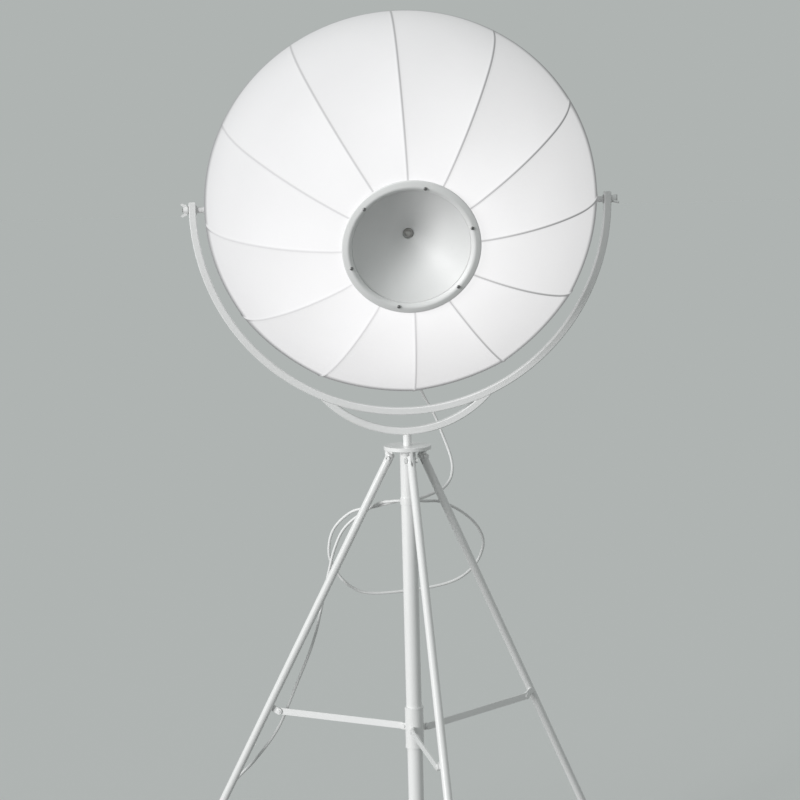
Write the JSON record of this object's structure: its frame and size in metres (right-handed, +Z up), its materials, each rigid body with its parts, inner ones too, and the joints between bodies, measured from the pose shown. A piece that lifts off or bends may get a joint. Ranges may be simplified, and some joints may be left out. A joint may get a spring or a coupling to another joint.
{
  "type": "tripod floor lamp",
  "caption": "White tripod floor lamp: a ribbed fabric dome shade with a funnel hub tilts in a swivelling yoke on a column with folding legs.",
  "frame": {"origin": "on the floor, straight below the column's axis", "axes": "+Z up along the column; the shade looks towards -Y; the tilt pivots lie along X"},
  "size_m": [0.993, 0.9707, 1.8638],
  "materials": {
    "frame_paint": "satin white powder coat",
    "column_paint": "satin white powder coat",
    "ring_paint": "satin white lacquer",
    "cone_paint": "satin white lacquer",
    "rib_paint": "white lacquered wire",
    "zinc": "zinc-plated steel",
    "dark_steel": "dark plated steel",
    "grey_plastic": "moulded, matt",
    "bush_plastic": "moulded, matt",
    "foot_rubber": "moulded grey rubber",
    "holder_plastic": "moulded, satin",
    "bulb_glass": "opal glass",
    "cloth": "woven white cloth, lit from within",
    "cord_pvc": "flexible cable sheath",
    "plug_plastic": "moulded, satin"
  },
  "bodies": {
    "column": {"column_tube": "column_paint", "top_plate": "frame_paint", "hinge_bolts": "frame_paint", "hinge_nuts": "frame_paint", "stem_bush": "bush_plastic", "set_screw": "zinc", "column_cap": "grey_plastic", "cord_hook": "frame_paint", "cord_loop": "cord_pvc", "cord_coil": "cord_pvc", "plug": "plug_plastic"},
    "yoke": {"stem": "frame_paint", "bow": "frame_paint", "yoke": "frame_paint", "cord_drop": "cord_pvc"},
    "head": {"pivot_studs": "zinc", "pivot_washers": "zinc", "rim_hoop": "rib_paint", "rib_1": "rib_paint", "rib_2": "rib_paint", "rib_3": "rib_paint", "rib_4": "rib_paint", "rib_5": "rib_paint", "rib_6": "rib_paint", "rib_7": "rib_paint", "rib_8": "rib_paint", "rib_9": "rib_paint", "rib_10": "rib_paint", "rib_11": "rib_paint", "rib_12": "rib_paint", "clamp_ring": "rib_paint", "hub_ring": "ring_paint", "hub_screws": "dark_steel", "cone": "cone_paint", "cap_nut": "zinc", "lamp_nipple": "zinc", "lamp_holder": "holder_plastic", "bulb": "bulb_glass", "shade_cover": "cloth", "lead": "cord_pvc", "lead_clip": "zinc", "strain_relief": "plug_plastic", "cord_tail": "cord_pvc"},
    "wing_nut_left": {"wing_nut_left": "frame_paint"},
    "wing_nut_right": {"wing_nut_right": "frame_paint"},
    "runner": {"runner": "frame_paint", "runner_pins": "frame_paint"},
    "leg_front": {"leg_front": "frame_paint", "foot_front": "foot_rubber"},
    "spreader_front": {"spreader_front": "frame_paint", "rivet_front": "frame_paint"},
    "leg_right": {"leg_right": "frame_paint", "foot_right": "foot_rubber"},
    "spreader_right": {"spreader_right": "frame_paint", "rivet_right": "frame_paint"},
    "leg_left": {"leg_left": "frame_paint", "foot_left": "foot_rubber"},
    "spreader_left": {"spreader_left": "frame_paint", "rivet_left": "frame_paint"}
  },
  "joints": [
    {"name": "yoke_swivel", "type": "hinge", "parent": "column", "child": "yoke", "pos_m": [0, 0, 1], "axis": [0, 0, 1], "range_deg": [-170, 170]},
    {"name": "head_tilt", "type": "hinge", "parent": "yoke", "child": "head", "pos_m": [0, 0, 1.49], "axis": [1, 0, 0], "range_deg": [-75, 60]},
    {"name": "wing_nut_left_turn", "type": "hinge", "parent": "head", "child": "wing_nut_left", "pos_m": [-0.427, 0, 1.49], "axis": [-1, 0, 0], "range_deg": [-90, 270]},
    {"name": "wing_nut_right_turn", "type": "hinge", "parent": "head", "child": "wing_nut_right", "pos_m": [0.427, 0, 1.49], "axis": [1, 0, 0], "range_deg": [-90, 270]},
    {"name": "leg_front_fold", "type": "hinge", "parent": "column", "child": "leg_front", "pos_m": [0.00369, -0.03983, 0.98], "axis": [0.9957, 0.0924, 0], "range_deg": [0, 26.14]},
    {"name": "leg_right_fold", "type": "hinge", "parent": "column", "child": "leg_right", "pos_m": [0.03265, 0.02311, 0.98], "axis": [-0.5779, 0.8161, 0], "range_deg": [0, 26.2]},
    {"name": "leg_left_fold", "type": "hinge", "parent": "column", "child": "leg_left", "pos_m": [-0.03634, 0.01672, 0.98], "axis": [-0.4179, -0.9085, 0], "range_deg": [0, 26.2]},
    {"name": "runner_slide", "type": "slide", "parent": "column", "child": "runner", "axis": [0, 0, 1], "range_m": [-0.3312, 0]},
    {"name": "spreader_front_turn", "type": "hinge", "parent": "runner", "child": "spreader_front", "pos_m": [0.00259, -0.02788, 0.42], "axis": [-0.9957, -0.0924, 0], "range_deg": [0, 86]},
    {"name": "spreader_right_turn", "type": "hinge", "parent": "runner", "child": "spreader_right", "pos_m": [0.02285, 0.01618, 0.42], "axis": [0.5779, -0.8161, 0], "range_deg": [0, 86]},
    {"name": "spreader_left_turn", "type": "hinge", "parent": "runner", "child": "spreader_left", "pos_m": [-0.02544, 0.0117, 0.42], "axis": [0.4179, 0.9085, 0], "range_deg": [0, 86]}
  ],
  "couplings": [
    {"joint": "leg_right_fold", "follows": "leg_front_fold", "ratio": 1},
    {"joint": "leg_left_fold", "follows": "leg_front_fold", "ratio": 1},
    {"joint": "runner_slide", "follows": "leg_front_fold", "m_per_rad": -0.72492},
    {"joint": "spreader_front_turn", "follows": "leg_front_fold", "ratio": 3.2856},
    {"joint": "spreader_right_turn", "follows": "leg_front_fold", "ratio": 3.2856},
    {"joint": "spreader_left_turn", "follows": "leg_front_fold", "ratio": 3.2856}
  ]
}
